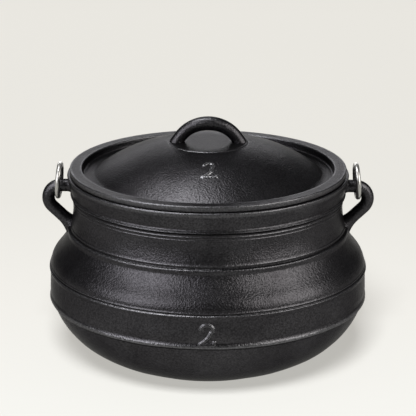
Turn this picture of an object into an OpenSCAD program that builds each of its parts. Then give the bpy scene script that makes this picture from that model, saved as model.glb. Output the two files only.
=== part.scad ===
// Flat-bottomed cast iron cauldron of about six litres, with a domed lid and a swinging wire bail.
// The origin is the centre of the flat base, +Z is up, and the ears lie along X.

/* [Bowl] */
// Diameter of the flat base
base_d = 166; // [150:1:180]
// Radius of the rounded edge round the base
base_edge = 2.9; // [1:0.1:4]
// Height of the bowl, up to the foot of the low bead
bowl_h = 50; // [44:0.5:56]
// How far the bowl's top lies in from the foot of the belly, at each side
bowl_step = 2.15; // [1:0.05:4]
// Radius of the bowl's curve in section
bowl_r = 71; // [64:0.5:90]

/* [Belly] */
// Height of the low bead, which caps the bowl
low_bead_h = 11; // [8:0.5:14]
// How far the low bead stands out
low_bead_proud = 2.1; // [1:0.1:3.5]
// How far the foot of the belly stands out beyond its top, at each side
belly_taper = 0.65; // [0:0.05:2]
// Height of the belly's wall, from the low bead to the belly bead
belly_h = 18.8; // [14:0.1:26]
// How far the belly stands out beyond the throat, at each side
belly_out = 20.8; // [16:0.1:26]
// Height from the belly bead up to the throat
shoulder_h = 54.4; // [46:0.1:64]
// Share of the curve between throat and belly that is hollow, above the round shoulder
waist_share = 0.742; // [0.6:0.002:0.84]

/* [Neck and rim] */
// Diameter of the throat, the narrowest place
throat_d = 233.6; // [200:0.2:270]
// Height from the throat up to the rim
neck_h = 27.8; // [25:0.1:34]
// How far the straight collar under the rim stands out beyond the throat, at each side
collar_out = 4.2; // [3:0.1:6]
// Height from the foot of that collar to the rim
collar_h = 4.5; // [3.5:0.1:6]
// How far the rim's lip stands out beyond the collar
rim_out = 0.5; // [0.2:0.1:1.2]
// Radius of the rim's rounded lip
lip_r = 1.3; // [0.8:0.1:2]
// Width of the rim, from its lip to the mouth
rim_w = 6.7; // [5:0.1:9]
// Depth of the straight part of the mouth
mouth_depth = 12; // [8:0.5:16]

/* [Beads] */
// Height of the belly bead, with the hollows at its sides
belly_bead_h = 6.5; // [5:0.5:9]
// How far the belly bead stands out
belly_bead_proud = 0.8; // [0.6:0.1:2.4]
// Height of the waist bead, with the hollows at its sides
waist_bead_h = 6.5; // [5:0.5:9]
// How far the waist bead stands out
waist_bead_proud = 1.3; // [0.6:0.1:2.4]
// Height of the waist bead's middle above the belly bead
waist_bead_up = 34.4; // [28:0.2:40]
// Height of the neck bead, with the hollows at its sides
neck_bead_h = 8.4; // [6:0.2:10]
// How far the neck bead stands out
neck_bead_proud = 1.7; // [0.6:0.1:2.4]
// Height of the neck bead's middle above the throat
neck_bead_up = 7.2; // [5:0.1:9]

/* [Walls] */
// Thickness of the pot's wall
wall = 4.5; // [3.5:0.1:6]
// Thickness of the pot's floor
floor_t = 6.5; // [5:0.1:9]
// Thickness of the lid's wall
lid_wall = 4.5; // [3.5:0.1:5.5]

/* [Ears] */
// Thickness of the round bar of an ear
ear_bar_d = 11; // [8:0.5:12]
// Depth of an ear's top bar below the rim, to the middle of the bar
ear_drop = 12.7; // [11:0.1:15]
// How far an ear reaches out beyond the throat
ear_out = 27.2; // [24:0.1:33]
// Radius of the ear's bend, to the middle of the bar
ear_bend = 11; // [10:0.1:13]
// Slope of the ear's lower bar, in degrees below level
ear_slope = 44; // [40:1:50]
// How far the root of the top bar spreads at the neck
top_spread = 1; // [0.4:0.1:1.6]
// Length of that root along the bar
top_root = 2; // [1:0.5:4]
// How far the root of the lower bar spreads at the waist
low_spread = 1.8; // [1:0.1:3]
// Length of that root along the bar
low_root = 7; // [5:0.5:10]

/* [Lid] */
// How far the lid's edge lies in from the rim's lip
lid_inset = 2.2; // [0.6:0.1:4]
// Thickness of the lid's flat ring
ring_t = 5.2; // [4:0.1:6]
// Radius of the ring's rounded edges
ring_edge = 1; // [0.4:0.1:1.6]
// Gap all round between the lid's skirt and the mouth
skirt_gap = 1.5; // [0.5:0.1:2.5]
// Depth of the gutter below the top of the ring
gutter_depth = 6.2; // [4:0.1:8]
// Width of the gutter's floor
gutter_w = 8.2; // [5:0.1:12]
// How far the gutter's outer side leans in on the way down to its floor
gutter_draft = 1; // [0.4:0.1:2]
// Height of the dome above the gutter's floor
dome_rise = 27.3; // [22:0.1:32]
// Radius of the dome's curve in section
dome_r = 143; // [100:1:300]
// Diameter of the round pad under the handle
pad_d = 69.6; // [66:0.2:76]
// How far the pad stands above the dome
pad_h = 0.7; // [0.4:0.1:1.5]

/* [Lid handle] */
// Thickness of the handle's round bar
handle_bar_d = 11; // [8:0.5:12]
// Radius of the handle's bow, to the middle of the bar
handle_r = 29.6; // [27:0.2:30]
// Height of the handle above the pad
handle_h = 22; // [18:0.5:26]
// How far a foot of the handle spreads at the pad
foot_spread = 1.2; // [0.6:0.1:2]
// Length of that foot along the bar
foot_l = 2.5; // [1.5:0.5:4]

/* [Bail] */
// Thickness of the bail's wire
wire_d = 4.5; // [3:0.1:5]
// Inside diameter of an eye
eye_d = 23.4; // [22:0.1:26]
// Free play between an eye and the underside of the ear's bar
eye_play = 1.7; // [1:0.1:2.5]
// Distance of an eye outwards past the start of the ear's bend
eye_out = 1.3; // [0.4:0.1:1.6]
// Lean of an eye towards the pot, in degrees
eye_lean = 4; // [2:0.5:5]
// Radius of the tight turn between an eye and the bow
turn_r = 4.5; // [4:0.1:6]
// Angle of the eye's open gap behind that turn, in degrees
eye_gap = 36; // [34:1:60]
// Clearance where the bow lies on the pot's shoulder
bow_gap = 0.3; // [0.2:0.05:0.6]

/* [Hidden] */
$fn = 144;
iron = [0.13, 0.13, 0.14];
zinc = [0.74, 0.75, 0.77];
// Steps along a long curve, a short curve, a bead and a small rounded edge
curve_steps = 16;
short_steps = 8;
bead_steps = 10;
edge_steps = 5;
// Height of the cone at a bar's root, in lengths of that root
root_rise = 1.5;
// Share of the lid's wall that the handle's bar reaches into
handle_sink = 0.6;
// Reach of a cut that runs past a surface
past = 1;

// Point at a distance r and an angle a from the centre c
function polar(c, r, a) = c + r * [cos(a), sin(a)];
// Points of an arc about c from angle a to angle b
function arc(c, r, a, b, n) = [for (i = [0:n]) polar(c, r, a + (b - a) * i / n)];
function round_to(x, step) = round(x / step) * step;
function angle_of(c, p) = atan2(p.y - c.y, p.x - c.x);
// Centre of the arc of radius r that runs from p to q and bulges to the right of that way
function centre(p, q, r) =
    let (d = q - p, l = norm(d), h = sqrt(r * r - l * l / 4))
    (p + q) / 2 + h / l * [-d.y, d.x];
function arc_through(p, q, r, n) =
    let (c = centre(p, q, r))
    arc(c, r, angle_of(c, p), angle_of(c, q), n);
// Points of a raised bead between the wall points p and q, with hollows that run out into the wall
function bead(p, q, proud) =
    let (d = q - p, out = [d.y, -d.x] / norm(d))
    [for (i = [0:bead_steps]) p + d * i / bead_steps + out * proud * (1 - cos(360 * i / bead_steps)) / 2];

// Heights along the pot, stacked from the base up
low_top = bowl_h + low_bead_h;
belly_z = low_top + belly_h;
throat_z = belly_z + shoulder_h;
pot_h = throat_z + neck_h;

// Radii at those heights
base_r = base_d / 2;
throat_r = throat_d / 2;
belly_r = throat_r + belly_out;
collar_r = throat_r + collar_out;
rim_r = collar_r + rim_out;
mouth_r = rim_r - rim_w;
bowl_foot = [base_r, base_edge];
belly_foot = [belly_r + belly_taper, low_top];
bowl_top = [belly_foot.x - bowl_step, bowl_h];
bowl_c = centre(bowl_foot, bowl_top, bowl_r);

// The waist's hollow curve and the shoulder's round one share a tangent where they meet, so their radii
// add up to a fixed sum
radius_sum = (pow(belly_out, 2) + pow(shoulder_h, 2)) / (2 * belly_out);
waist_r = waist_share * radius_sum;
shoulder_r = radius_sum - waist_r;
waist_c = [throat_r + waist_r, throat_z];
shoulder_c = [belly_r - shoulder_r, belly_z];
meet_a = angle_of(shoulder_c, waist_c);
meet_z = polar(shoulder_c, shoulder_r, meet_a).y;

waist_bead_z = belly_z + waist_bead_up;
neck_bead_z = throat_z + neck_bead_up;

// The hollow curve runs on behind the neck bead, and a cone takes over from there to the collar
cone_foot_z = neck_bead_z + neck_bead_h / 2;
cone_top_z = pot_h - collar_h;

// The lip is a rounded edge that stands out over the collar
lip_c = [rim_r - lip_r, pot_h - lip_r];
lip_a = -acos(max(-1, (collar_r - lip_c.x) / lip_r));

// Outside radius of the wall at a height between the low bead and the collar, beads left out
function waist_at(z) = waist_c.x - sqrt(pow(waist_r, 2) - pow(throat_z - z, 2));
function cone_at(z) =
    let (foot = waist_at(cone_foot_z))
    foot + (collar_r - foot) * (z - cone_foot_z) / (cone_top_z - cone_foot_z);
function shoulder_at(z) = shoulder_c.x + sqrt(pow(shoulder_r, 2) - pow(z - belly_z, 2));
function belly_at(z) = belly_r + (belly_foot.x - belly_r) * (belly_z - z) / belly_h;
function wall_at(z) =
    z > cone_foot_z ? cone_at(z) :
    z > meet_z ? waist_at(z) :
    z > belly_z ? shoulder_at(z) : belly_at(z);
function on_wall(z) = [wall_at(z), z];
function bead_at(z, h, proud) = bead(on_wall(z - h / 2), on_wall(z + h / 2), proud);
// Points of the wall between two heights, both left out
function wall_run(z0, z1, n) = [for (i = [1:n - 1]) on_wall(z0 + (z1 - z0) * i / n)];

pot_outside = concat(
    [[0, 0]],
    arc([base_r - base_edge, base_edge], base_edge, -90, 0, edge_steps),
    arc_through(bowl_foot, bowl_top, bowl_r, curve_steps),
    bead(bowl_top, belly_foot, low_bead_proud),
    bead_at(belly_z, belly_bead_h, belly_bead_proud),
    wall_run(belly_z + belly_bead_h / 2, waist_bead_z - waist_bead_h / 2, curve_steps),
    bead_at(waist_bead_z, waist_bead_h, waist_bead_proud),
    wall_run(waist_bead_z + waist_bead_h / 2, neck_bead_z - neck_bead_h / 2, short_steps),
    bead_at(neck_bead_z, neck_bead_h, neck_bead_proud),
    [[collar_r, cone_top_z]],
    arc(lip_c, lip_r, lip_a, 90, edge_steps),
    [[0, pot_h]]
);

// The cavity keeps an even wall behind the curves and opens straight up through the mouth
bowl_in_r = bowl_r - wall;
floor_a = asin(max(-1, (floor_t - bowl_c.y) / bowl_in_r));
mouth_edge = lip_r;
pot_inside = concat(
    [[0, floor_t]],
    arc(bowl_c, bowl_in_r, floor_a, angle_of(bowl_c, bowl_top), curve_steps),
    [belly_foot - [wall, 0]],
    arc(shoulder_c, shoulder_r - wall, 0, meet_a, curve_steps),
    arc(waist_c, waist_r + wall, 180 + meet_a, 180, curve_steps),
    [[mouth_r, pot_h - mouth_depth]],
    arc([mouth_r + mouth_edge, pot_h - mouth_edge], mouth_edge, 180, 90, edge_steps),
    [[mouth_r + mouth_edge, pot_h + past], [0, pot_h + past]]
);

// Middle line of an ear: level out from the neck, round the bend and back down to the waist
ear_r = ear_bar_d / 2;
ear_z = pot_h - ear_drop;
ear_bend_c = [throat_r + ear_out - ear_r - ear_bend, ear_z - ear_bend];
ear_turn = 90 - ear_slope;
ear_low = polar(ear_bend_c, ear_bend, -ear_turn);
// Way down the lower bar from the bend to the waist's hollow curve
low_way = -[cos(ear_slope), sin(ear_slope)];
low_along = (waist_c - ear_low) * low_way;
ear_low_l = low_along + sqrt(pow(low_along, 2) + pow(waist_r, 2) - pow(norm(waist_c - ear_low), 2));
// Depth to which the lower bar's root runs on behind the wall's face
low_sunk = 2 * wall;
// The straight bars are a hair thicker than the bend and lap over its ends
lap = 0.02;
lap_a = 2;

// Spread root of a bar that stands along +Z on a face at z = 0: it meets the bar at its own length
module root(bar_r, spread, length, sunk) {
    flare = spread / length;
    rise = root_rise * length;
    translate([0, 0, -sunk])
        cylinder(r1 = bar_r + flare * (length + sunk), r2 = bar_r + flare * (length - rise), h = sunk + rise);
}

module ear() {
    // Level top bar
    translate([wall_at(ear_z), 0, ear_z])
        rotate([0, 90, 0]) {
            translate([0, 0, -wall])
                cylinder(r = ear_r + lap, h = wall + ear_bend_c.x - wall_at(ear_z));
            root(ear_r, top_spread, top_root, wall);
        }
    // Bend
    translate([ear_bend_c.x, 0, ear_bend_c.y])
        rotate([90, 0, 0])
            rotate_extrude(angle = 90 + ear_turn + 2 * lap_a, start = -ear_turn - lap_a)
                translate([ear_bend, 0])
                    circle(r = ear_r);
    // Lower bar
    translate([ear_low.x, 0, ear_low.y])
        rotate([0, 270 - ear_slope, 0]) {
            cylinder(r = ear_r + lap, h = ear_low_l);
            translate([0, 0, ear_low_l])
                rotate([180, 0, 0])
                    root(ear_r, low_spread, low_root, low_sunk);
        }
}

module pot() {
    color(iron)
        difference() {
            union() {
                rotate_extrude()
                    polygon(pot_outside);
                for (side = [0, 180])
                    rotate(side)
                        ear();
            }
            rotate_extrude()
                polygon(pot_inside);
        }
}

// The lid's ring lies flat on the rim, its gutter dips into the mouth and its dome rises inside that
lid_r = rim_r - lid_inset;
ring_z = pot_h + ring_t;
skirt_r = mouth_r - skirt_gap;
gutter_r = skirt_r - lid_wall;
gutter_z = ring_z - gutter_depth;
dome_foot = [gutter_r - gutter_draft - gutter_w, gutter_z];
dome_top = [pad_d / 2, gutter_z + dome_rise];
dome_c = centre(dome_foot, dome_top, dome_r);
pad_z = dome_top.y + pad_h;
skirt_z = gutter_z - lid_wall;
skirt_edge = lid_wall / 2;

lid_outside = concat(
    [[0, skirt_z]],
    arc([skirt_r - skirt_edge, skirt_z + skirt_edge], skirt_edge, -90, 0, edge_steps),
    [[skirt_r, pot_h]],
    arc([lid_r - ring_edge, pot_h + ring_edge], ring_edge, -90, 0, edge_steps),
    arc([lid_r - ring_edge, ring_z - ring_edge], ring_edge, 0, 90, edge_steps),
    arc([gutter_r + ring_edge, ring_z - ring_edge], ring_edge, 90, 180, edge_steps),
    [[gutter_r - gutter_draft, gutter_z]],
    arc_through(dome_foot, dome_top, dome_r, curve_steps),
    arc([dome_top.x - pad_h, dome_top.y], pad_h, 0, 90, edge_steps),
    [[0, pad_z]]
);

// Hollow under the dome, an even wall below its curve
hollow_r = dome_r - lid_wall;
hollow_a = asin((skirt_z - dome_c.y) / hollow_r);
hollow_top_a = acos((dome_top.x - dome_c.x) / hollow_r);
lid_hollow = concat(
    [[0, skirt_z - past], [polar(dome_c, hollow_r, hollow_a).x, skirt_z - past]],
    arc(dome_c, hollow_r, hollow_a, hollow_top_a, curve_steps),
    [[0, polar(dome_c, hollow_r, hollow_top_a).y]]
);

// The handle is part of a ring whose middle lies below the pad
handle_bar_r = handle_bar_d / 2;
handle_c_z = pad_z + handle_h - handle_bar_r - handle_r;
foot_a = asin((pad_z - handle_c_z) / handle_r);
// The bar's ends lie inside the lid's wall
handle_a = asin((pad_z - handle_sink * lid_wall - handle_c_z) / handle_r);

module lid_handle() {
    translate([0, 0, handle_c_z])
        rotate([90, 0, 0])
            rotate_extrude(angle = 180 - 2 * handle_a, start = handle_a)
                translate([handle_r, 0])
                    circle(r = handle_bar_r);
    for (side = [0, 180])
        rotate(side)
            translate([handle_r * cos(foot_a), 0, pad_z])
                rotate([0, -foot_a, 0])
                    root(handle_bar_r, foot_spread, foot_l, lid_wall);
}

module lid() {
    color(iron)
        difference() {
            union() {
                rotate_extrude()
                    polygon(lid_outside);
                lid_handle();
            }
            rotate_extrude()
                polygon(lid_hollow);
        }
}

// The bail turns about the line through the middles of its two eyes
wire_r = wire_d / 2;
eye_r = eye_d / 2 + wire_r;
eye_x = ear_bend_c.x + eye_out;
eye_z = ear_z - ear_r + eye_d / 2 - eye_play;
// The tight turn touches the eye from outside; its figures are rounded so that the runs of wire meet
turn_s = round_to(sqrt(pow(eye_r + turn_r, 2) - pow(turn_r, 2)), 0.001);
turn_a = round_to(atan2(turn_r, turn_s), 0.01);
turn_c = [turn_s, turn_r];
eye_c = turn_c - (eye_r + turn_r) * [cos(turn_a), sin(turn_a)];
bow_reach = turn_s + eye_x;

// Level angle at which a bow of this reach meets a round stretch of wall, seen from the side
hinge = [0, eye_z];
function drop_to(c) = atan2(hinge.y - c.y, c.x);
function swing_to(c, r) =
    let (d = norm(c - hinge))
    acos((bow_reach * bow_reach + d * d - r * r) / (2 * bow_reach * d));
rest_on_waist = drop_to(waist_c) + swing_to(waist_c, waist_r - wire_r - bow_gap);
rest_on_shoulder = drop_to(shoulder_c) - swing_to(shoulder_c, shoulder_r + wire_r + bow_gap);
rest_a = min(rest_on_waist, rest_on_shoulder);

// Stretch of wire bent to the radius r about a point of the section plane, from angle a on
module bend(r, a, sweep) {
    rotate_extrude(angle = sweep, start = a)
        translate([r, 0])
            circle(r = wire_r);
}

// One eye, drawn in the plane of the ear's side: the wire turns up from the bow and runs round the bar
module eye() {
    rotate([90, 0, 90]) {
        translate([eye_c.x, eye_c.y, 0])
            bend(eye_r, turn_a, 360 - eye_gap);
        translate([turn_c.x, turn_c.y, 0])
            bend(turn_r, 180 + turn_a, 90 - turn_a);
    }
}

module bail() {
    color(zinc)
        translate([0, 0, eye_z])
            rotate([-rest_a, 0, 0]) {
                // Each eye leans about the line of the arm it sits on
                for (side = [-1, 1])
                    translate([side * eye_x, turn_s, 0])
                        rotate([0, side * -eye_lean, 0])
                            translate([0, -turn_s, 0])
                                eye();
                translate([0, turn_s, 0])
                    bend(eye_x, 0, 180);
            }
}

pot();
lid();
bail();
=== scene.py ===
"""Looks of a cast iron cauldron with a domed lid and a swinging wire bail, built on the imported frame."""

import logging
import math
from dataclasses import dataclass, field
from enum import Enum
from functools import partial
from typing import Any, Callable, Sequence

import bpy
import numpy as np
from bpy.types import Material, Node, NodeSocket, NodeTree, Object
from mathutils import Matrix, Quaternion, Vector

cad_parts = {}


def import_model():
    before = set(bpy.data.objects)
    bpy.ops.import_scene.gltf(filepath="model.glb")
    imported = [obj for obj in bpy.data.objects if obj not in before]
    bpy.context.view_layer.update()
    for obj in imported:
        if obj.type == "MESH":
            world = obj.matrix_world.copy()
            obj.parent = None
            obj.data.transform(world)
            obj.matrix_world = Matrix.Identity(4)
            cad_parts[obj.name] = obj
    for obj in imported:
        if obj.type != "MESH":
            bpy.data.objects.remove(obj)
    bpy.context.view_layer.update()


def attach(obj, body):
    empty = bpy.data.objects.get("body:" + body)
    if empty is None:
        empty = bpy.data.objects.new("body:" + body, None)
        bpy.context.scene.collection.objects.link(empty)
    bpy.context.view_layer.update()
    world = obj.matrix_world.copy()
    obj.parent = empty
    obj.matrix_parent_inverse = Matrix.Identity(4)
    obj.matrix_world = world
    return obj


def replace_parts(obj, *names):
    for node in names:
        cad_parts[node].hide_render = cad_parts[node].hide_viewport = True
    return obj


LOG = logging.getLogger("cauldron")
MM = 0.001
RUBBED = "rubbed"
SKIMMED = "skimmed"
# Painted shade: darkens the creases, and the ditch round each numeral, where shade falls
PAINTED_SHADE = "sooted"
# Noise seldom leaves this range
NOISE_RANGE = {"From Min": 0.3, "From Max": 0.7}
# Blender's ring waves run through this many radians in a unit
WAVE_RADIANS = 20

Point = tuple[float, float]
Array = np.ndarray
Chart = Callable[[Array, Array, Array], Array]
Adder = Callable[..., Node]


class Body(Enum):
    """Rigid bodies of the frame."""

    POT = "pot"
    BAIL = "bail"


class Slot(Enum):
    """Material slots of the record."""

    POT = "pot_iron"
    LID = "lid_iron"
    WIRE = "bail_wire"


def srgb(code: str) -> tuple[float, float, float, float]:
    """Turns an sRGB hex colour into linear light.

    Args:
        code: Six hex digits after a hash sign.

    Returns:
        Red, green, blue and an alpha of one.
    """
    values = [int(code[i : i + 2], 16) / 255 for i in (1, 3, 5)]
    linear = [v / 12.92 if v <= 0.04045 else ((v + 0.055) / 1.055) ** 2.4 for v in values]
    return (linear[0], linear[1], linear[2], 1.0)


def per_metre(size_mm: float) -> float:
    """Texture scale that gives cells of about this many millimetres."""
    return 1 / (size_mm * MM)


def add_node(
    tree: NodeTree,
    kind: str,
    settings: dict[str, Any] | None = None,
    values: dict[str | int, Any] | None = None,
    links: dict[str | int, NodeSocket] | None = None,
) -> Node:
    """Adds one node to a tree.

    Args:
        tree: Tree to add it to.
        kind: Blender's name for the type of node, without its prefix for shader nodes.
        settings: Properties of the node itself.
        values: Fixed values of its input sockets.
        links: Sockets that feed its input sockets.

    Returns:
        The new node.
    """
    node = tree.nodes.new("ShaderNode" + kind)
    for name, value in (settings or {}).items():
        setattr(node, name, value)
    for name, value in (values or {}).items():
        node.inputs[name].default_value = value
    for name, socket in (links or {}).items():
        tree.links.new(socket, node.inputs[name])
    return node


def new_material(name: str) -> tuple[Material, Adder]:
    """Makes an empty node material.

    Args:
        name: The material's name.

    Returns:
        The material, and the function that adds a node to its tree.
    """
    material = bpy.data.materials.new(name)
    material.use_nodes = True
    material.node_tree.nodes.clear()
    return material, partial(add_node, material.node_tree)


@dataclass(frozen=True)
class SeasonedCastIron:
    """Grey cast iron, cast in green sand and then seasoned with baked oil.

    The sand leaves a fine pebbled skin, and the oil film turns the metal near-black with a soft sheen. So
    highlights are broad, neutral and broken into grains, and rubbed edges are a little smoother and paler.
    Creases get painted shade, which makes them dull and black.
    """

    name: str = "seasoned_cast_iron"
    body: str = "#2f2e30"
    rubbed: str = "#808083"
    edge: float = 0.45
    roughness: float = 0.34
    rubbed_roughness: float = 0.2
    skimmed_roughness: float = 0.3
    # Sand of about 0.4 mm is too fine for the picture, so the grain is drawn at the size that shows in it
    grain_mm: float = 1.4
    grain_depth_mm: float = 0.3
    speckle: float = 0.34
    pebble_mm: float = 6.0
    pebble_depth_mm: float = 0.14
    # Tool marks of about 0.3 mm are too fine as well, and are drawn coarser
    groove_mm: float = 1.6
    groove_depth_mm: float = 0.03
    stain_mm: float = 38.0
    stain: float = 0.075
    # How far the painted shade in creases darkens the iron
    soot: float = 0.75

    def make(self) -> Material:
        """Builds the node material.

        Returns:
            The material.
        """
        material, add = new_material(self.name)
        place = add("TexCoord").outputs["Object"]
        rubbed, skimmed, sooted = (
            add("Attribute", {"attribute_name": mark}).outputs["Fac"]
            for mark in (RUBBED, SKIMMED, PAINTED_SHADE)
        )
        stain, sand, pebbles = (
            add(
                "TexNoise",
                values={"Scale": per_metre(size_mm), "Detail": detail, "Roughness": roughness},
                links={"Vector": place},
            ).outputs["Fac"]
            for size_mm, detail, roughness in (
                (self.stain_mm, 3.0, 0.55),
                (self.grain_mm, 1.0, 0.5),
                (self.pebble_mm, 2.0, 0.5),
            )
        )
        shade, speckle, unshaded, gloss = (
            add(
                "MapRange", values={**given, "To Min": low, "To Max": high}, links={"Value": value}
            ).outputs["Result"]
            for value, given, low, high in (
                (stain, NOISE_RANGE, 0.0, self.stain),
                (sand, NOISE_RANGE, 1 - self.speckle, 1 + self.speckle),
                # Painted shade darkens the colour in creases
                (sooted, {}, 1.0, 1 - self.soot),
                (rubbed, {}, self.roughness, self.rubbed_roughness),
            )
        )
        wear = add("Math", {"operation": "MAXIMUM"}, links={0: shade, 1: rubbed})
        colour = add(
            "Mix",
            {"data_type": "RGBA"},
            values={6: srgb(self.body), 7: srgb(self.rubbed)},
            links={0: wear.outputs[0]},
        )
        shine = add("Math", {"operation": "MULTIPLY"}, links={0: speckle, 1: unshaded})
        tips = add(
            "VectorMath", {"operation": "SCALE"}, links={0: colour.outputs[2], "Scale": shine.outputs[0]}
        )
        even = add("Mix", values={3: self.skimmed_roughness}, links={0: skimmed, 2: gloss})
        shader = add(
            "BsdfPrincipled",
            values={"Metallic": 1.0, "Specular Tint": (self.edge, self.edge, self.edge, 1.0)},
            links={
                "Base Color": tips.outputs[0],
                "Roughness": even.outputs[0],
                "Normal": self._relief(add, place, pebbles, sand, skimmed),
            },
        )
        add("OutputMaterial", links={"Surface": shader.outputs[0]})
        return material

    def _relief(
        self, add: Adder, place: NodeSocket, pebbles: NodeSocket, sand: NodeSocket, skimmed: NodeSocket
    ) -> NodeSocket:
        """Adds the sand's pebbles and grain, and the fine rings that dressing leaves on the lid's ring.

        Args:
            add: Adds a node to the material's tree.
            place: Coordinates in the part's frame.
            pebbles: Height of the pebbles.
            sand: Height of the grain.
            skimmed: One where the surface was dressed.

        Returns:
            The normal for the shader.
        """
        rings = add(
            "TexWave",
            {"wave_type": "RINGS", "rings_direction": "Z", "wave_profile": "SIN"},
            values={
                "Scale": per_metre(self.groove_mm) * math.tau / WAVE_RADIANS,
                "Distortion": 1.2,
                "Detail": 2.0,
                "Detail Scale": 1.5,
            },
            links={"Vector": place},
        )
        grooves = add("Math", {"operation": "MULTIPLY"}, links={0: rings.outputs["Fac"], 1: skimmed})
        under: dict[str | int, NodeSocket] = {}
        for height, depth_mm in (
            (pebbles, self.pebble_depth_mm),
            (sand, self.grain_depth_mm),
            (grooves.outputs[0], self.groove_depth_mm),
        ):
            bump = add(
                "Bump",
                values={"Strength": 1.0, "Distance": depth_mm * MM},
                links={"Height": height, **under},
            )
            under = {"Normal": bump.outputs[0]}
        return under["Normal"]


@dataclass(frozen=True)
class PlatedWire:
    """Mild steel wire, cold drawn and bright zinc plated.

    Drawing leaves faint marks and the plating a bright, slightly cloudy metal. So the wire mirrors the
    studio softly, with pale streaks and dark edges.
    """

    name: str = "zinc_plated_wire"
    colour: str = "#b2b1ae"
    cloud: str = "#8f8e8b"
    roughness: float = 0.25
    cloud_roughness: float = 0.42
    cloud_mm: float = 7.0
    # Draw marks are finer than 0.1 mm, and are drawn coarser to show at all
    mark_mm: float = 0.9
    mark_depth_mm: float = 0.008

    def make(self) -> Material:
        """Builds the node material.

        Returns:
            The material.
        """
        material, add = new_material(self.name)
        place = add("TexCoord").outputs["Object"]
        cloud, marks = (
            add(
                "TexNoise", values={"Scale": per_metre(size_mm), "Detail": detail}, links={"Vector": place}
            ).outputs["Fac"]
            for size_mm, detail in ((self.cloud_mm, 3.0), (self.mark_mm, 2.0))
        )
        colour = add(
            "Mix",
            {"data_type": "RGBA"},
            values={6: srgb(self.colour), 7: srgb(self.cloud)},
            links={0: cloud},
        )
        gloss = add(
            "MapRange",
            values={"To Min": self.roughness, "To Max": self.cloud_roughness},
            links={"Value": cloud},
        )
        bump = add(
            "Bump", values={"Strength": 1.0, "Distance": self.mark_depth_mm * MM}, links={"Height": marks}
        )
        shader = add(
            "BsdfPrincipled",
            values={"Metallic": 1.0},
            links={
                "Base Color": colour.outputs[2],
                "Roughness": gloss.outputs["Result"],
                "Normal": bump.outputs[0],
            },
        )
        add("OutputMaterial", links={"Surface": shader.outputs[0]})
        return material


@dataclass(frozen=True)
class StudioPaper:
    """Matt seamless paper with painted light: it glows, by an amount that changes with distance, and so
    keeps the shadows pale.
    """

    name: str = "studio_paper"
    colour: str = "#787876"
    roughness: float = 0.95
    # Painted glow at distances in metres behind the cauldron's middle
    glow: tuple[tuple[float, str], ...] = (
        (-1.0, "#6d6d6a"),
        (-0.45, "#747471"),
        (-0.22, "#b8b7b2"),
        (-0.13, "#b9b8b3"),
        (0.12, "#b7b4ae"),
        (0.44, "#b2afa8"),
        (1.5, "#c1beb7"),
    )

    def make(self) -> Material:
        """Builds the node material.

        Returns:
            The material.
        """
        material, add = new_material(self.name)
        place = add("TexCoord").outputs["Object"]
        depth = add("SeparateXYZ", links={0: place}).outputs["Y"]
        near_y, far_y = self.glow[0][0], self.glow[-1][0]
        far = add("MapRange", values={"From Min": near_y, "From Max": far_y}, links={"Value": depth})
        glow = add("ValToRGB", links={"Fac": far.outputs["Result"]})
        stops = glow.color_ramp.elements
        while len(stops) < len(self.glow):
            stops.new(1.0)
        for stop, (y, code) in zip(stops, self.glow):
            stop.position = (y - near_y) / (far_y - near_y)
            stop.color = srgb(code)
        shader = add(
            "BsdfPrincipled",
            values={
                "Base Color": srgb(self.colour),
                "Roughness": self.roughness,
                "Specular IOR Level": 0.1,
                "Emission Strength": 1.0,
            },
            links={"Emission Color": glow.outputs["Color"]},
        )
        add("OutputMaterial", links={"Surface": shader.outputs[0]})
        return material


def polar(centre: Point, radius: float, degrees: float) -> Point:
    """Point at a distance and an angle from a centre."""
    a = math.radians(degrees)
    return (centre[0] + radius * math.cos(a), centre[1] + radius * math.sin(a))


def angle_of(centre: Point, p: Point) -> float:
    """Angle of a point seen from a centre, in degrees."""
    return math.degrees(math.atan2(p[1] - centre[1], p[0] - centre[0]))


def arc(centre: Point, radius: float, start: float, end: float, steps: int) -> list[Point]:
    """Points of an arc from one angle to another, both ends included."""
    return [polar(centre, radius, start + (end - start) * i / steps) for i in range(steps + 1)]


def centre_of(p: Point, q: Point, radius: float) -> Point:
    """Centre of an arc that bulges to the right of the way from its first to its last point.

    Args:
        p: First point.
        q: Last point.
        radius: The arc's radius.

    Returns:
        The centre.
    """
    dx, dy = q[0] - p[0], q[1] - p[1]
    chord = math.hypot(dx, dy)
    rise = math.sqrt(radius**2 - chord**2 / 4)
    return ((p[0] + q[0]) / 2 - rise * dy / chord, (p[1] + q[1]) / 2 + rise * dx / chord)


def arc_through(p: Point, q: Point, radius: float, steps: int) -> list[Point]:
    """Points of the arc from p to q that bulges to the right of that way."""
    c = centre_of(p, q, radius)
    return arc(c, radius, angle_of(c, p), angle_of(c, q), steps)


def raised(p: Point, q: Point, steps: int, lift: Callable[[float], float]) -> list[Point]:
    """Points from p to q, lifted to the right of that way.

    Args:
        p: First point.
        q: Last point.
        steps: Number of steps.
        lift: Gives the lift at a share of the way.

    Returns:
        The points, both ends included.
    """
    dx, dy = q[0] - p[0], q[1] - p[1]
    chord = math.hypot(dx, dy)
    lifts = [(i / steps, lift(i / steps)) for i in range(steps + 1)]
    return [(p[0] + dx * t + dy / chord * out, p[1] + dy * t - dx / chord * out) for t, out in lifts]


def hump(t: float) -> float:
    """Round hump from -1 to 1, one high in the middle."""
    return (1 + math.cos(math.pi * t)) / 2 if abs(t) < 1 else 0.0


def bell(t: Array) -> Array:
    """Soft hump without ends, one high at zero."""
    return np.exp(-(t**2))


def smooth(t: Array) -> Array:
    """Soft step from zero to one."""
    t = np.clip(t, 0, 1)
    return t * t * (3 - 2 * t)


def flare(gap: Array, length: float, spread: float, most: float) -> Array:
    """Extra radius of a bar near its root, with a limit on how far it grows inside the wall."""
    return np.clip(1 - gap / length, 0, most) ** 2 * spread


def round_axis(radius: Array, turn: Array, z: Array) -> Array:
    """Places at a radius, at a turn from the front to the right, and at a height."""
    return np.stack([radius * np.sin(turn), -radius * np.cos(turn), z], 1)


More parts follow.
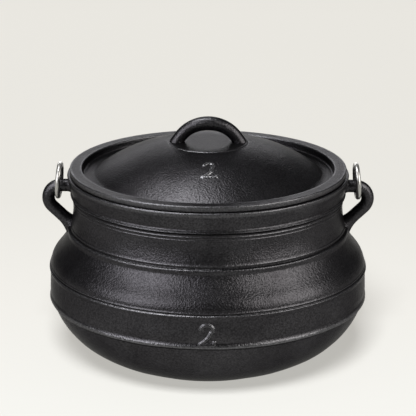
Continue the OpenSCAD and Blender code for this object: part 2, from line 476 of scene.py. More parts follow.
@dataclass(frozen=True)
class Bead:
    """A raised bead with a long lower flank, and a crease and a cove over its crest.

    Its crest and its crease lie at shares of its height, and its other sizes are in millimetres.
    """

    z: float
    height: float
    proud: float
    crest: float
    crease: float
    cut: float

    def ends(self) -> Point:
        """Heights of its lower and its upper end."""
        return (self.z - self.height / 2, self.z + self.height / 2)

    def lift(self, t: float) -> float:
        """How far it stands out of the wall.

        Args:
            t: Share of its height.

        Returns:
            The distance from the wall, negative in the cove.
        """
        if t < self.crest:
            return self.proud * hump(1 - t / self.crest)
        if t < self.crease:
            return (self.proud + self.cut) * hump((t - self.crest) / (self.crease - self.crest)) - self.cut
        return -self.cut * hump((t - self.crease) / (1 - self.crease))


@dataclass(frozen=True)
class LowBead:
    """The bead that caps the bowl: a soft swell with a sharper ridge, and a crease above and below."""

    height: float = 11.0
    proud: float = 1.75
    # Below one, this moves the swell's crest down from its middle
    skew: float = 0.64
    # Place and half width as shares, and height in millimetres, of the ridge and of both creases
    details: tuple[tuple[float, float, float], ...] = (
        (0.3, 0.2, 0.3),
        (0.64, 0.22, -0.45),
        (0.06, 0.06, -0.25),
    )
    crests: tuple[float, ...] = (0.32, 0.44)
    # Painted shade lies at these shares of the low bead's height
    creases: tuple[float, ...] = (0.1,)

    def lift(self, t: float) -> float:
        """How far it stands out at a share of its height."""
        swell = self.proud * (1 - math.cos(math.tau * t**self.skew)) / 2
        return swell + sum(height * hump((t - at) / half) for at, half, height in self.details)


@dataclass
class Profile:
    """Half section of a turned form, with values for wear, dressing and painted crease shade at each point.
    """

    # Half widths of a crest's wear and of a crease's painted shade, as shares of their stretch
    crest_half: float = 0.16
    crease_half: float = 0.085
    points: list[Point] = field(default_factory=list)
    wear: list[float] = field(default_factory=list)
    dressed: list[float] = field(default_factory=list)
    soot: list[float] = field(default_factory=list)

    def add(
        self,
        points: Sequence[Point],
        wear: float = 0.0,
        dressed: float = 0.0,
        crests: Sequence[float] = (),
        creases: Sequence[float] = (),
    ) -> None:
        """Appends points to the section, without a first one that stands there already.

        Args:
            points: Radius and height of each, in millimetres.
            wear: How rubbed this stretch is.
            dressed: How far this stretch was dressed smooth.
            crests: Shares of the stretch at which its wear peaks, as on a bead.
            creases: Shares of the stretch at which painted shade darkens a crease.
        """
        for i, p in enumerate(points):
            if self.points and math.dist(self.points[-1], p) < 1e-4:
                continue
            t = i / max(len(points) - 1, 1)
            self.points.append(p)
            self.wear.append(wear * max((hump((t - c) / self.crest_half) for c in crests), default=1.0))
            self.dressed.append(dressed)
            # Painted shade, peaking at each crease
            self.soot.append(max((hump((t - c) / self.crease_half) for c in creases), default=0.0))


@dataclass(frozen=True)
class CastSkin:
    """Slow swell of a sand casting's skin, always inwards, and how much of it each place takes."""

    seed: int
    held: Callable[[Array], Array]
    depth_mm: float = 0.3
    waves: int = 14
    shortest_mm: float = 24.0
    longest_mm: float = 70.0

    def depth(self, points: Array) -> Array:
        """Works out how deep the skin lies.

        Args:
            points: Places in millimetres, one row each.

        Returns:
            Depth at each place in millimetres.
        """
        rng = np.random.default_rng(self.seed)
        total = np.zeros(len(points))
        for _ in range(self.waves):
            way = rng.normal(size=3)
            way /= np.linalg.norm(way)
            length = rng.uniform(self.shortest_mm, self.longest_mm)
            total += np.sin(points @ way * (math.tau / length) + rng.uniform(0, math.tau))
        return self.depth_mm * (0.5 + 0.5 * np.tanh(total / math.sqrt(self.waves)))


def make_object(
    name: str,
    verts: Array,
    faces: Sequence[Sequence[int]],
    material: Material,
    marks: dict[str, Array] | None = None,
) -> Object:
    """Makes a smooth-shaded mesh object.

    Args:
        name: Name of the object and its mesh.
        verts: Corners in millimetres, one row each.
        faces: Corner numbers of each face.
        material: Material of the whole mesh.
        marks: Values per corner that the material reads, by name.

    Returns:
        The new object.
    """
    mesh = bpy.data.meshes.new(name)
    mesh.from_pydata((verts * MM).tolist(), [], faces)
    for mark in (RUBBED, SKIMMED, PAINTED_SHADE):
        given = (marks or {}).get(mark)
        values = np.zeros(len(verts), np.float32) if given is None else np.asarray(given, np.float32)
        mesh.attributes.new(mark, "FLOAT", "POINT").data.foreach_set("value", values)
    mesh.shade_smooth()
    mesh.materials.append(material)
    mesh.update()
    obj = bpy.data.objects.new(name, mesh)
    bpy.context.scene.collection.objects.link(obj)
    return obj


def settle(obj: Object, body: Body, slot: Slot) -> Object:
    """Puts a piece on its body and reports it.

    Args:
        obj: The piece.
        body: Body that carries it.
        slot: Material slot of the record; not used.

    Returns:
        The piece.
    """
    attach(obj, body.value)
    LOG.info("%s: %d faces on %s", obj.name, len(obj.data.polygons), body.value)
    return obj


def tube_faces(rings: int, around: int) -> list[tuple[int, ...]]:
    """Lists the faces of a tube, closed by one more corner before its first ring and one after its last.

    Args:
        rings: Number of rings.
        around: Number of corners in each ring.

    Returns:
        Corner numbers of each face.
    """
    pairs = [(j, (j + 1) % around) for j in range(around)]
    last = (rings - 1) * around
    starts = range(0, last, around)
    faces = [(i + j, i + k, i + around + k, i + around + j) for i in starts for j, k in pairs]
    faces += [(rings * around, k, j) for j, k in pairs]
    faces += [(rings * around + 1, last + j, last + k) for j, k in pairs]
    return faces


def tube_mark(values: Sequence[float], around: int) -> Array:
    """Spreads a value of each ring over a tube's corners, with none at its two closing corners."""
    return np.append(np.repeat(values, around), [0, 0])


def turned_form(name: str, profile: Profile, material: Material, around: int, skin: CastSkin) -> Object:
    """Turns a section about the Z axis into a closed mesh with a slightly uneven skin.

    Args:
        name: The object's name.
        profile: Section that starts and ends on the axis.
        material: Material of the mesh.
        around: Number of steps round the axis.
        skin: Unevenness of the surface.

    Returns:
        The new object.
    """
    pts = np.array(profile.points)
    inner = pts[1:-1]
    along = pts[2:] - pts[:-2]
    normal = np.stack([along[:, 1], -along[:, 0]], 1)
    normal /= np.linalg.norm(normal, axis=1)[:, None]
    turn = np.arange(around) * math.tau / around

    def lifted(rows: Array) -> Array:
        """Ring of places for each row of a radius and a height."""
        z = np.broadcast_to(rows[:, 1:], (len(rows), around))
        return np.stack([rows[:, :1] * np.cos(turn), rows[:, :1] * np.sin(turn), z], -1)

    base = lifted(inner)
    depth = skin.depth(base.reshape(-1, 3)).reshape(base.shape[:2]) * skin.held(inner)[:, None]
    verts = base - lifted(normal) * depth[..., None]
    verts = np.vstack([verts.reshape(-1, 3), [[0, 0, pts[0][1]]], [[0, 0, pts[-1][1]]]])
    given = ((RUBBED, profile.wear), (SKIMMED, profile.dressed), (PAINTED_SHADE, profile.soot))
    marks = {mark: tube_mark(values[1:-1], around) for mark, values in given}
    return make_object(name, verts, tube_faces(len(inner), around), material, marks)


def swept_bar(
    name: str, path: Array, radii: Array, material: Material, around: int = 40, wear: Array | None = None
) -> Object:
    """Sweeps a round section along a path, with low domed ends.

    Args:
        name: The object's name.
        path: Places of the middle line in millimetres.
        radii: Radius of the bar at each place.
        material: Material of the mesh.
        around: Number of steps round the section.
        wear: How rubbed the bar is at each place.

    Returns:
        The new object.
    """
    tangents = np.gradient(path, axis=0)
    tangents /= np.linalg.norm(tangents, axis=1)[:, None]
    # The frame is carried along the path without twist
    side = np.cross(tangents[0], [0.0, 0.0, 1.0] if abs(tangents[0][2]) < 0.9 else [0.0, 1.0, 0.0])
    turn = np.arange(around) * math.tau / around
    rings = []
    for p, t, r in zip(path, tangents, radii):
        side = side - t * (side @ t)
        side /= np.linalg.norm(side)
        up = np.cross(t, side)
        rings.append(p + r * (np.cos(turn)[:, None] * side + np.sin(turn)[:, None] * up))
    dome = 0.3
    start = path[:1] - tangents[:1] * radii[0] * dome
    end = path[-1:] + tangents[-1:] * radii[-1] * dome
    worn = tube_mark(np.zeros(len(path)) if wear is None else wear, around)
    verts = np.vstack([*rings, start, end])
    return make_object(name, verts, tube_faces(len(path), around), material, {RUBBED: worn})


@dataclass
class RaisedNumeral:
    """A plain numeral two, raised on the casting with soft edges.

    The place of its flank, edge and ditch is a share of the stroke's width, out from the stroke's middle.
    """

    name: str
    width: float
    height: float
    stroke: float = 4.0
    proud: float = 0.9
    wear: float = 1.0
    cell: float = 0.25
    margin: float = 1.8
    sunk: float = 0.3
    depth: float = 1.4
    flank_foot: float = 0.55
    flank_w: float = 0.4
    edge_at: float = 0.37
    edge_half: float = 0.2
    top_wear: float = 0.55
    ditch_at: float = 0.65
    ditch_half: float = 0.1
    # Painted shade in the ditch round the strokes
    ditch_shade: float = 0.7
    inset_share: float = 0.35
    # The head is a share of half the figure's width, and its own sizes are shares of the head
    head_share: float = 0.62
    head_wide: float = 1.3
    head_tall: float = 1.06
    head_left: float = 0.02
    hook_left: float = 1.32
    hook_up: float = 0.02
    turn_from: int = 165
    turn_to: int = -45
    turn_step: int = 15
    # Neck and base of the figure, as shares of half its width and of its height
    neck: tuple[Point, ...] = ((0.22, 0.36), (-0.4, 0.14), (-0.95, 0.0))
    base: tuple[Point, ...] = ((-0.4, 0.0), (0.5, 0.0), (0.9, 0.0), (1.0, 0.1))

    def path(self) -> Array:
        """Draws the middle line of the strokes, from the hook at the left to the end of the foot.

        Returns:
            Distances across and up, one row each.
        """
        inset = self.inset_share * self.stroke
        w, h = self.width / 2 - inset, self.height - 2 * inset
        head = self.head_share * w
        wide, tall = self.head_wide * head, self.head_tall * head
        top = (-self.head_left * w, h - tall)
        points = [(top[0] - self.hook_left * head, top[1] + self.hook_up * h)]
        for degrees in range(self.turn_from, self.turn_to - 1, -self.turn_step):
            t = math.radians(degrees)
            points.append((top[0] + wide * math.cos(t), top[1] + tall * math.sin(t)))
        points += [(x * w, y * h) for x, y in self.neck + self.base]
        return np.array(points) + [0, -h / 2]

    def _gap(self, u: Array, v: Array) -> Array:
        """Measures how far places are from the strokes' middle line.

        Args:
            u: Distances across.
            v: Distances up.

        Returns:
            The distance of each.
        """
        gap = np.full(len(u), np.inf)
        line = self.path()
        for (ax, ay), (bx, by) in zip(line[:-1], line[1:]):
            dx, dy = bx - ax, by - ay
            t = np.clip(((u - ax) * dx + (v - ay) * dy) / (dx * dx + dy * dy), 0, 1)
            gap = np.minimum(gap, np.hypot(u - ax - t * dx, v - ay - t * dy))
        return gap

    def build(self, chart: Chart, material: Material) -> Object:
        """Builds the numeral as a patch whose edges lie just under the casting's skin.

        Args:
            chart: Gives the place for a distance across, a distance up and a height over the skin.
            material: Material of the mesh.

        Returns:
            The new object.
        """
        half_w, half_h = self.width / 2 + self.margin, self.height / 2 + self.margin
        nx, ny = int(2 * half_w / self.cell), int(2 * half_h / self.cell)
        grid = np.meshgrid(np.linspace(-half_w, half_w, nx), np.linspace(-half_h, half_h, ny))
        u, v = (g.ravel() for g in grid)
        gap = self._gap(u, v)
        rise = smooth((self.flank_foot * self.stroke - gap) / (self.flank_w * self.stroke))
        top = chart(u, v, rise * (self.proud + self.sunk) - self.sunk)
        bottom = chart(u, v, np.full(len(u), -self.depth))
        count = nx * ny
        faces = []
        for a in (i * nx + j for i in range(ny - 1) for j in range(nx - 1)):
            faces.append((a, a + 1, a + nx + 1, a + nx))
            faces.append((count + a, count + a + nx, count + a + nx + 1, count + a + 1))
        rim = list(range(nx)) + [i * nx + nx - 1 for i in range(1, ny)]
        rim += [(ny - 1) * nx + j for j in range(nx - 2, -1, -1)] + [i * nx for i in range(ny - 2, 0, -1)]
        faces += [(a, count + a, count + b, b) for a, b in zip(rim, rim[1:] + rim[:1])]
        share = gap / self.stroke
        edge = np.clip(bell((share - self.edge_at) / self.edge_half) + self.top_wear * rise, 0, 1)
        # Painted shade in the ditch at the foot of the flanks
        ditch = self.ditch_shade * bell((share - self.ditch_at) / self.ditch_half)
        under = np.zeros(count)
        marks = {RUBBED: np.append(self.wear * edge, under), PAINTED_SHADE: np.append(ditch, under)}
        return make_object(self.name, np.vstack([top, bottom]), faces, material, marks)


@dataclass
class PotCasting:
    """The pot's one casting: bowl, belly, waist and neck with their beads, rim, cavity and two ears."""

    iron: Material
    base_r: float = 83.0
    base_edge: float = 2.9
    base_rings: tuple[float, ...] = (0.0, 40.0, 70.0)
    base_wear: float = 0.12
    bowl_h: float = 50.0
    bowl_top_r: float = 136.1
    bowl_r: float = 71.0
    low_bead: LowBead = LowBead()
    belly_foot_r: float = 138.25
    belly_h: float = 18.8
    belly_r: float = 137.6
    shoulder_h: float = 54.4
    waist_share: float = 0.742
    throat_r: float = 116.8
    neck_h: float = 27.8
    collar_r: float = 121.0
    collar_h: float = 4.5
    rim_r: float = 121.5
    lip_r: float = 1.3
    lip_wear: float = 0.25
    mouth_r: float = 114.8
    mouth_depth: float = 12.0
    mouth_dressed: float = 0.6
    cone_foot_z: float = 145.6
    # Each bead's z, height, proud, crest, crease and cut
    beads: tuple[Bead, ...] = (
        Bead(78.75, 5.5, 1.0, 0.71, 0.95, 0.2),
        Bead(82.8, 2.6, 0.35, 0.35, 0.9, 0.05),
        Bead(112.3, 6.6, 1.3, 0.606, 0.93, 0.25),
        Bead(117.0, 2.8, 0.35, 0.35, 0.9, 0.05),
        Bead(137.4, 2.0, 0.25, 0.5, 0.85, 0.05),
        Bead(140.4, 2.6, 0.5, 0.5, 0.85, 0.1),
        Bead(143.6, 3.8, 1.5, 0.79, 0.97, 0.15),
        Bead(146.5, 2.0, 0.7, 0.3, 0.9, 0.05),
    )
    bead_wear: float = 0.38
    wear_over_crest: float = 0.08
    bead_steps_per_mm: float = 3.4
    fewest_bead_steps: int = 9
    # Beads cut deeper than this get painted shade in their crease
    shaded_cut: float = 0.1
    wall: float = 4.5
    wall_step: float = 2.5
    floor_t: float = 6.5
    floor_ring_r: float = 40.0
    base_fade_h: float = 14.0
    true_rim_h: float = 4.0
    rim_fade_h: float = 10.0
    ear_bar_r: float = 5.5
    ear_drop: float = 12.7
    ear_reach: float = 143.98
    ear_bend: float = 11.0
    ear_slope: float = 44.0
    top_sunk: float = 3.0
    top_spread: float = 1.0
    top_flare: float = 3.2
    low_sunk: float = 3.4
    low_spread: float = 1.8
    low_flare: float = 9.8
    ear_wear: float = 0.2
    # The ear is rubbed most where its bend begins, counted in steps along it
    ear_wear_at: int = 16
    ear_wear_half: int = 6
    around: int = 384

    def __post_init__(self) -> None:
        """Works out the heights and the two curves that meet between shoulder and waist."""
        self.low_top = self.bowl_h + self.low_bead.height
        self.belly_z = self.low_top + self.belly_h
        self.throat_z = self.belly_z + self.shoulder_h
        self.top_z = self.throat_z + self.neck_h
        out = self.belly_r - self.throat_r
        radius_sum = (out**2 + self.shoulder_h**2) / (2 * out)
        self.waist_r = self.waist_share * radius_sum
        self.shoulder_r = radius_sum - self.waist_r
        self.waist_c = (self.throat_r + self.waist_r, self.throat_z)
        self.shoulder_c = (self.belly_r - self.shoulder_r, self.belly_z)
        self.meet_a = angle_of(self.shoulder_c, self.waist_c)
        self.meet_z = polar(self.shoulder_c, self.shoulder_r, self.meet_a)[1]
        self.cone_top_z = self.top_z - self.collar_h
        self.ear_z = self.top_z - self.ear_drop
        self.bowl_foot = (self.base_r, self.base_edge)
        self.bowl_top = (self.bowl_top_r, self.bowl_h)

    def wall_at(self, z: float) -> float:
        """Outside radius of the wall between the low bead and the collar, with the beads left out.

        Args:
            z: Height.

        Returns:
            The radius.
        """
        if z > self.cone_foot_z:
            foot = self.waist_c[0] - math.sqrt(self.waist_r**2 - (self.throat_z - self.cone_foot_z) ** 2)
            share = (z - self.cone_foot_z) / (self.cone_top_z - self.cone_foot_z)
            return foot + (self.collar_r - foot) * share
        if z > self.meet_z:
            return self.waist_c[0] - math.sqrt(self.waist_r**2 - (self.throat_z - z) ** 2)
        if z > self.belly_z:
            return self.shoulder_c[0] + math.sqrt(self.shoulder_r**2 - (z - self.belly_z) ** 2)
        return self.belly_r + (self.belly_foot_r - self.belly_r) * (self.belly_z - z) / self.belly_h

    def _bead(self, b: Bead) -> list[Point]:
        """Draws a bead on the wall.

        Args:
            b: The bead.

        Returns:
            Its points, both ends included.
        """
        foot, head = ((self.wall_at(z), z) for z in b.ends())
        steps = max(self.fewest_bead_steps, round(self.bead_steps_per_mm * b.height))
        return raised(foot, head, steps, b.lift)

    def _wall_run(self, low: float, high: float) -> list[Point]:
        """Points of the wall between two heights, both left out."""
        steps = max(1, round((high - low) / self.wall_step))
        return [(self.wall_at(z), z) for z in (low + (high - low) * i / steps for i in range(1, steps))]

    def section(self) -> Profile:
        """Draws the half section, from the middle of the base round the rim to the middle of the floor.

        Returns:
            The section.
        """
        p = Profile()
        edge = self.base_edge
        p.add([(r, 0) for r in self.base_rings])
        p.add(arc((self.base_r - edge, edge), edge, -90, 0, steps=6), self.base_wear)
        p.add(arc_through(self.bowl_foot, self.bowl_top, self.bowl_r, steps=20))
        cap, low = self.low_bead, self.low_top
        cap_points = raised(self.bowl_top, (self.belly_foot_r, low), 30, cap.lift)
        p.add(cap_points, self.bead_wear, crests=cap.crests, creases=cap.creases)
        for b in self.beads:
            foot, head = b.ends()
            p.add(self._wall_run(low, foot))
            # Painted shade in the crease of deeply cut beads
            creases = (b.crease,) if b.cut > self.shaded_cut else ()
            p.add(self._bead(b), self.bead_wear, crests=(b.crest + self.wear_over_crest,), creases=creases)
            low = head
        p.add(self._wall_run(low, self.cone_top_z))
        p.add([(self.collar_r, self.cone_top_z)])
        lip = (self.rim_r - self.lip_r, self.top_z - self.lip_r)
        start = -math.degrees(math.acos((self.collar_r - lip[0]) / self.lip_r))
        p.add(arc(lip, self.lip_r, start, 90, steps=8), self.lip_wear)
        round_in = (self.mouth_r + self.lip_r, self.top_z - self.lip_r)
        p.add(arc(round_in, self.lip_r, 90, 180, steps=4), dressed=self.mouth_dressed)
        self._add_inside(p)
        return p

    def _add_inside(self, p: Profile) -> None:
        """Adds the cavity's section, from the mouth down to the middle of the floor.

        Args:
            p: Section to add it to.
        """
        w = self.wall
        p.add([(self.mouth_r, self.top_z - self.mouth_depth)])
        p.add(arc(self.waist_c, self.waist_r + w, 180, 180 + self.meet_a, steps=10))
        p.add(arc(self.shoulder_c, self.shoulder_r - w, self.meet_a, 0, steps=6))
        bowl_c = centre_of(self.bowl_foot, self.bowl_top, self.bowl_r)
        inside = self.bowl_r - w
        floor_a = math.degrees(math.asin(max(-1.0, (self.floor_t - bowl_c[1]) / inside)))
        p.add([(self.belly_foot_r - w, self.low_top)])
        p.add(arc(bowl_c, inside, angle_of(bowl_c, self.bowl_top), floor_a, steps=10))
        p.add([(self.floor_ring_r, self.floor_t), (0, self.floor_t)])

    def _held(self, points: Array) -> Array:
        """Keeps the base, the rim and the mouth true, and lets the rest of the skin be uneven."""
        z = points[:, 1]
        return smooth(z / self.base_fade_h) * smooth((self.top_z - self.true_rim_h - z) / self.rim_fade_h)

    def ear_path(self) -> tuple[Array, Array]:
        """Draws the right ear, from inside the neck to inside the waist's wall.

        Returns:
            Places of its middle line, and its radius at each.
        """
        bend = (self.ear_reach - self.ear_bar_r - self.ear_bend, self.ear_z - self.ear_bend)
        drop = math.radians(self.ear_slope)
        start = self.wall_at(self.ear_z) - self.top_sunk
        top = [(x, self.ear_z) for x in np.linspace(start, bend[0], 14)]
        curve = arc(bend, self.ear_bend, 90, self.ear_slope - 90, steps=30)
        low = np.array(curve[-1])
        way = -np.array([math.cos(drop), math.sin(drop)])
        gap = np.array(self.waist_c) - low
        length = gap @ way + math.sqrt((gap @ way) ** 2 + self.waist_r**2 - gap @ gap)
        bar = [tuple(low + way * s) for s in np.linspace(0, length + self.low_sunk, 26)]
        line = np.array(top + curve[1:] + bar[1:])
        run = np.concatenate([[0], np.cumsum(np.linalg.norm(np.diff(line, axis=0), axis=1))])
        # Each root flares smoothly instead of by a straight cone
        near_top = flare(run - self.top_sunk, self.top_flare, self.top_spread, most=1.6)
        near_low = flare(run[-1] - self.low_sunk - run, self.low_flare, self.low_spread, most=1.5)
        path = np.stack([line[:, 0], np.zeros(len(line)), line[:, 1]], 1)
        return path, self.ear_bar_r + near_top + near_low

    def numeral_chart(self, across: float, z: float) -> Chart:
        """Chart of the belly's front, for a numeral whose middle is at a place on it.

        Args:
            across: Distance of its middle from the front's middle line.
            z: Height of its middle.

        Returns:
            The chart.
        """
        skin = np.array(self.section().points)
        skin = skin[: int(skin[:, 1].argmax())]
        heights = np.maximum.accumulate(skin[:, 1])

        def place(u: Array, v: Array, lift: Array) -> Array:
            """Places for distances across, distances up and heights over the skin."""
            radius = np.interp(z + v, heights, skin[:, 0]) + lift
            return round_axis(radius, (u + across) / self.wall_at(z), z + v)

        return place

    def build(self) -> None:
        """Builds the body, the ears and the numeral."""
        skin = CastSkin(seed=11, held=self._held)
        body = turned_form("pot_body", self.section(), self.iron, self.around, skin)
        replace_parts(settle(body, Body.POT, Slot.POT), "pot")
        path, radii = self.ear_path()
        wear = self.ear_wear * bell((np.arange(len(path)) - self.ear_wear_at) / self.ear_wear_half)
        for name, side in (("ear_right", 1), ("ear_left", -1)):
            line = (path * [side, 1, 1])[::side]
            ear = swept_bar(name, line, radii[::side], self.iron, wear=wear[::side])
            settle(ear, Body.POT, Slot.POT)
        numeral = RaisedNumeral("belly_numeral", width=14.6, height=19.2, wear=0.24)
        settle(numeral.build(self.numeral_chart(across=-0.4, z=64.4), self.iron), Body.POT, Slot.POT)


@dataclass
class LidCasting:
    """The lid's one casting: flat ring, gutter, dome, pad, loop handle and skirt."""

    iron: Material
    seat_z: float = 162.0
    lid_r: float = 119.3
    ring_t: float = 5.2
    ring_edge: float = 1.0
    ring_foot_wear: float = 0.12
    ring_out_wear: float = 0.33
    ring_top_wear: float = 0.03
    ring_in_wear: float = 0.3
    edge_dressed: float = 0.5
    skirt_r: float = 113.3
    wall: float = 4.5
    ceiling_r: float = 20.0
    gutter_depth: float = 6.2
    gutter_w: float = 8.2
    gutter_draft: float = 1.0
    # Points of the gutter's outer wall, out from its foot and up from its floor
    gutter_wall: tuple[Point, ...] = ((0.75, 3.9), (0.45, 2.3))
    hollow_r: float = 1.6
    hollow_shift: float = 0.25
    # Points where the floor runs out into the dome, out from the dome's foot and up
    gutter_floor: tuple[Point, ...] = ((3.4, 0.0), (1.9, 0.08), (0.8, 0.45))
    dome_rise: float = 27.3
    dome_r: float = 143.0
    pad_r: float = 34.8
    pad_h: float = 0.7
    pad_edge: float = 1.5
    pad_wear: float = 0.17
    pad_rings: tuple[float, ...] = (22.0, 10.0, 0.0)
    true_edge_w: float = 4.0
    edge_fade_w: float = 8.0
    bar_r: float = 5.5
    handle_r: float = 29.6
    handle_h: float = 22.0
    handle_wear: float = 0.12
    handle_wear_half: int = 16
    foot_spread: float = 0.5
    foot_flare: float = 4.5
    foot_sunk: float = 8.0
    crown_swell: float = 0.5
    crown_half: float = 34.0
    around: int = 384

    def __post_init__(self) -> None:
        """Works out the heights of ring, gutter and pad and the dome's centre."""
        self.ring_z = self.seat_z + self.ring_t
        self.gutter_r = self.skirt_r - self.wall
        self.gutter_z = self.ring_z - self.gutter_depth
        self.dome_foot = (self.gutter_r - self.gutter_draft - self.gutter_w, self.gutter_z)
        self.dome_top = (self.pad_r, self.gutter_z + self.dome_rise)
        self.dome_c = centre_of(self.dome_foot, self.dome_top, self.dome_r)
        self.pad_z = self.dome_top[1] + self.pad_h
        self.skirt_z = self.gutter_z - self.wall

    def section(self) -> Profile:
        """Draws the half section, from the middle of the hollow round the skirt and ring to the pad.

        Returns:
            The section.
        """
        p = Profile()
        inside = self.dome_r - self.wall
        low_a = math.degrees(math.asin((self.skirt_z - self.dome_c[1]) / inside))
        top_a = math.degrees(math.acos((self.pad_r - self.dome_c[0]) / inside))
        ceiling = polar(self.dome_c, inside, top_a)[1]
        p.add([(0, ceiling), (self.ceiling_r, ceiling)])
        p.add(arc(self.dome_c, inside, top_a, low_a, steps=14))
        edge = self.wall / 2
        p.add(arc((self.skirt_r - edge, self.skirt_z + edge), edge, -90, 0, steps=5))
        p.add([(self.skirt_r, self.seat_z)])
        self._add_ring(p)
        foot = self.gutter_r - self.gutter_draft
        slope_a = math.degrees(math.atan2(self.gutter_depth - self.ring_edge, self.gutter_draft))
        p.add([(foot + x, self.gutter_z + y) for x, y in self.gutter_wall])
        hollow_c = (foot - self.hollow_r + self.hollow_shift, self.gutter_z + self.hollow_r)
        p.add(arc(hollow_c, self.hollow_r, slope_a - 90, -90, steps=5))
        p.add([(self.dome_foot[0] + x, self.gutter_z + y) for x, y in self.gutter_floor])
        p.add(arc_through(self.dome_foot, self.dome_top, self.dome_r, steps=46)[1:-1])
        t = np.linspace(0, 1, 11)
        heights = self.dome_top[1] + self.pad_h * smooth(t)
        p.add(list(zip(self.pad_r - self.pad_edge * t, heights)), self.pad_wear)
        p.add([(r, self.pad_z) for r in self.pad_rings])
        return p

    def _add_ring(self, p: Profile) -> None:
        """Adds the flat ring's section, from its foot outside to the gutter.

        Args:
            p: Section to add it to.
        """
        e, dressed = self.ring_edge, self.edge_dressed
        out, into, top = self.lid_r - e, self.gutter_r + e, self.ring_z - e
        p.add(arc((out, self.seat_z + e), e, -90, 0, steps=5), self.ring_foot_wear)
        p.add(arc((out, top), e, 0, 90, steps=6), self.ring_out_wear, dressed)
        p.add([(r, self.ring_z) for r in np.linspace(out, into, 7)[1:-1]], self.ring_top_wear, dressed=1.0)
        p.add(arc((into, top), e, 90, 180, steps=6), self.ring_in_wear, dressed)

    def _held(self, points: Array) -> Array:
        """Keeps the seat, the skirt and the ring true, and lets the dome be uneven."""
        inwards = smooth((self.gutter_r - self.true_edge_w - points[:, 0]) / self.edge_fade_w)
        return inwards * (points[:, 1] > self.gutter_z - 1)

    def handle_path(self) -> tuple[Array, Array]:
        """Draws the loop handle, from foot to foot.

        Returns:
            Places of its middle line, and its radius at each.
        """
        centre_z = self.pad_z + self.handle_h - self.bar_r - self.handle_r
        foot_a = math.degrees(math.asin((self.pad_z - centre_z) / self.handle_r))
        angles = np.linspace(foot_a - self.foot_sunk, 180 - foot_a + self.foot_sunk, 72)
        turn = np.radians(angles)
        from_foot = np.radians(np.minimum(angles, 180 - angles) - foot_a) * self.handle_r
        feet = flare(from_foot, self.foot_flare, self.foot_spread, most=1.2)
        # The crown hangs a little deeper than the rest of the bar
        crown = self.crown_swell * bell((angles - 90) / self.crown_half)
        z = centre_z + self.handle_r * np.sin(turn) - crown
        path = np.stack([self.handle_r * np.cos(turn), np.zeros(len(turn)), z], 1)
        return path, self.bar_r + feet + crown

    def numeral_chart(self, across: float, out: float) -> Chart:
        """Chart of the dome's front, for a numeral whose middle is at a place on it.

        Args:
            across: Distance of its middle from the front's middle line.
            out: Radius of its middle.

        Returns:
            The chart.
        """
        middle = math.acos((out - self.dome_c[0]) / self.dome_r)

        def place(u: Array, v: Array, lift: Array) -> Array:
            """Places numeral points on the dome.

            Args:
                u: Distances across.
                v: Distances up the dome.
                lift: Heights over the skin.

            Returns:
                The places.
            """
            a, reach = middle + v / self.dome_r, self.dome_r + lift
            radius, z = self.dome_c[0] + reach * np.cos(a), self.dome_c[1] + reach * np.sin(a)
            return round_axis(radius, (u + across) / out, z)

        return place

    def build(self) -> None:
        """Builds the plate, the handle and the numeral."""
        skin = CastSkin(seed=23, held=self._held)
        plate = turned_form("lid_plate", self.section(), self.iron, self.around, skin)
        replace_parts(settle(plate, Body.POT, Slot.LID), "lid")
        path, radii = self.handle_path()
        wear = self.handle_wear * bell((np.arange(len(path)) - len(path) / 2) / self.handle_wear_half)
        settle(swept_bar("lid_handle", path, radii, self.iron, 48, wear), Body.POT, Slot.LID)
        numeral = RaisedNumeral("lid_numeral", width=13.8, height=22.4, stroke=4.2, proud=0.6, wear=0.8)
        settle(numeral.build(self.numeral_chart(across=0.8, out=61.6), self.iron), Body.POT, Slot.LID)


@dataclass
class BailWire:
    """The bail: one wire bent to a half-round bow with a nearly closed eye at each end."""

    plating: Material
    wire_r: float = 2.25
    eye_r: float = 13.95
    eye_x: float = 128.8
    eye_z: float = 153.8
    turn_r: float = 4.5
    lean: float = 4.0
    gap: float = 36.0
    # Angle below level at which the bow lies on the back shoulder
    rest: float = 23.5589

    def half_path(self) -> Array:
        """Draws the right half, from the eye's open end to the bow's middle, with the arm along Y.

        Returns:
            Places of its middle line.
        """
        turn_s = math.sqrt((self.eye_r + self.turn_r) ** 2 - self.turn_r**2)
        start = math.degrees(math.atan2(self.turn_r, turn_s))
        eye = arc((0, 0), self.eye_r, start + 360 - self.gap, start, steps=96)
        turn = arc((turn_s, self.turn_r), self.turn_r, 180 + start, 270, steps=16)
        flat = np.array(eye + turn[1:])
        lean = math.radians(self.lean)
        x = self.eye_x - flat[:, 1] * math.sin(lean)
        loop = np.stack([x, flat[:, 0], flat[:, 1] * math.cos(lean)], 1)
        bow = np.array(arc((0, turn_s), self.eye_x, 0, 90, steps=90))[1:]
        return np.vstack([loop, np.column_stack([bow, np.zeros(len(bow))])])

    def build(self) -> None:
        """Builds the wire at rest, lying back on the shoulder."""
        right = self.half_path()
        left = (right * [-1, 1, 1])[::-1][1:]
        line = np.vstack([right, left])
        a = math.radians(self.rest)
        y = line[:, 1] * math.cos(a) + line[:, 2] * math.sin(a)
        z = -line[:, 1] * math.sin(a) + line[:, 2] * math.cos(a)
        line = np.column_stack([line[:, 0], y, z + self.eye_z])
        wire = swept_bar("bail_wire", line, np.full(len(line), self.wire_r), self.plating, 32)
        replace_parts(settle(wire, Body.BAIL, Slot.WIRE), "bail")


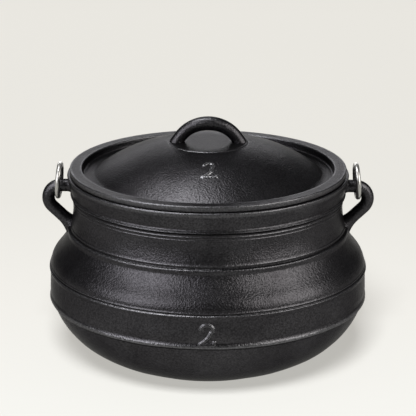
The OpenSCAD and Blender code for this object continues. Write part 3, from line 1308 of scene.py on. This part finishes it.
@dataclass
class SoftBox:
    """A large soft lamp that faces the cauldron, and lights either the paper alone or all but the paper."""

    name: str
    azimuth: float
    elevation: float
    away: float
    size: Point
    power: float
    aim: tuple[float, float, float] = (0.0, 0.0, 0.09)
    on_paper: bool = False
    tint: str = "#ffffff"

    def build(self, paper: Object) -> None:
        """Builds the lamp.

        Args:
            paper: The sheet under the cauldron.
        """
        data = bpy.data.lights.new(self.name, "AREA")
        data.shape = "RECTANGLE"
        data.size, data.size_y = self.size
        data.energy = self.power
        data.color = srgb(self.tint)[:3]
        lamp = bpy.data.objects.new(self.name, data)
        a, e = math.radians(self.azimuth), math.radians(self.elevation)
        way = Vector((math.sin(a) * math.cos(e), -math.cos(a) * math.cos(e), math.sin(e)))
        lamp.location = Vector(self.aim) + way * self.away
        lamp.rotation_euler = (-way).to_track_quat("-Z", "Y").to_euler()
        bpy.context.scene.collection.objects.link(lamp)
        reach = bpy.data.collections.new(self.name + "_reach")
        reach.objects.link(paper)
        reach.collection_objects[0].light_linking.link_state = "INCLUDE" if self.on_paper else "EXCLUDE"
        lamp.light_linking.receiver_collection = reach
        LOG.info("%s: lamp of %.0f W", self.name, self.power)


@dataclass
class Studio:
    """Pale floor, soft lamps and the camera of the photograph."""

    paper: Material
    pitch: float = 17.5
    away: float = 1.566
    aim_z: float = 0.1288
    roll: float = 0.2
    frame_px: float = 416.0
    focal_px: float = 1800.0
    sensor_mm: float = 36.0
    clip_end: float = 50.0
    floor_half: float = 6.0
    floor_gap: float = 0.0002
    surround: float = 0.26
    front: float = 0.015

    def _floor(self) -> Object:
        """Builds the floor.

        Returns:
            The floor.
        """
        h = self.floor_half / MM
        corners = np.array([[-h, -h, 0], [h, -h, 0], [h, h, 0], [-h, h, 0]], float)
        floor = make_object("floor", corners, [(0, 1, 2, 3)], self.paper)
        floor.location.z = -self.floor_gap
        return floor

    def _world(self) -> None:
        """Sets a dim surround, dark behind the camera."""
        world = bpy.data.worlds.new("surround")
        bpy.context.scene.world = world
        world.use_nodes = True
        world.node_tree.nodes.clear()
        add = partial(add_node, world.node_tree)
        way = add("TexCoord").outputs["Generated"]
        ahead = add("SeparateXYZ", links={0: way}).outputs["Y"]
        room = add(
            "MapRange",
            {"interpolation_type": "SMOOTHSTEP"},
            values={"From Min": -0.85, "From Max": -0.1, "To Min": self.front, "To Max": self.surround},
            links={"Value": ahead},
        )
        glow = add("Background", links={"Strength": room.outputs["Result"]})
        add("OutputWorld", links={"Surface": glow.outputs[0]})

    def _camera(self) -> None:
        """Sets the camera at the photograph's viewing angle."""
        data = bpy.data.cameras.new("camera")
        data.sensor_width = self.sensor_mm
        data.lens = self.sensor_mm * self.focal_px / self.frame_px
        data.clip_end = self.clip_end
        camera = bpy.data.objects.new("camera", data)
        e = math.radians(self.pitch)
        way = Vector((0, -math.cos(e), math.sin(e)))
        camera.location = Vector((0, 0, self.aim_z)) + way * self.away
        turn = (-way).to_track_quat("-Z", "Y") @ Quaternion((0, 0, 1), math.radians(self.roll))
        camera.rotation_euler = turn.to_euler()
        bpy.context.scene.collection.objects.link(camera)
        bpy.context.scene.camera = camera

    def build(self) -> None:
        """Builds the set."""
        floor = self._floor()
        self._world()
        self._camera()
        for lamp in (
            SoftBox("lamp_left", -50, 28, 2.4, (2.1, 2.0), 66, tint="#fdfcff"),
            SoftBox("lamp_right", 60, 26, 2.4, (2.1, 2.0), 63, tint="#fffcf7"),
            SoftBox("lamp_back", -174, 18, 3.4, (2.6, 1.0), 40),
            SoftBox("lamp_top", -97, 75, 2.4, (1.25, 1.25), 45),
            SoftBox("lamp_paper", -7, 51, 6.0, (2.1, 2.1), 1020, on_paper=True),
        ):
            lamp.build(floor)
        bpy.context.scene.view_settings.view_transform = "Standard"


def main() -> None:
    """Builds the cauldron and the studio round it."""
    logging.basicConfig(level=logging.INFO, format="%(name)s: %(message)s")
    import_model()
    iron = SeasonedCastIron().make()
    Studio(StudioPaper().make()).build()
    PotCasting(iron).build()
    LidCasting(iron).build()
    BailWire(PlatedWire().make()).build()


if __name__ == "__main__":
    main()
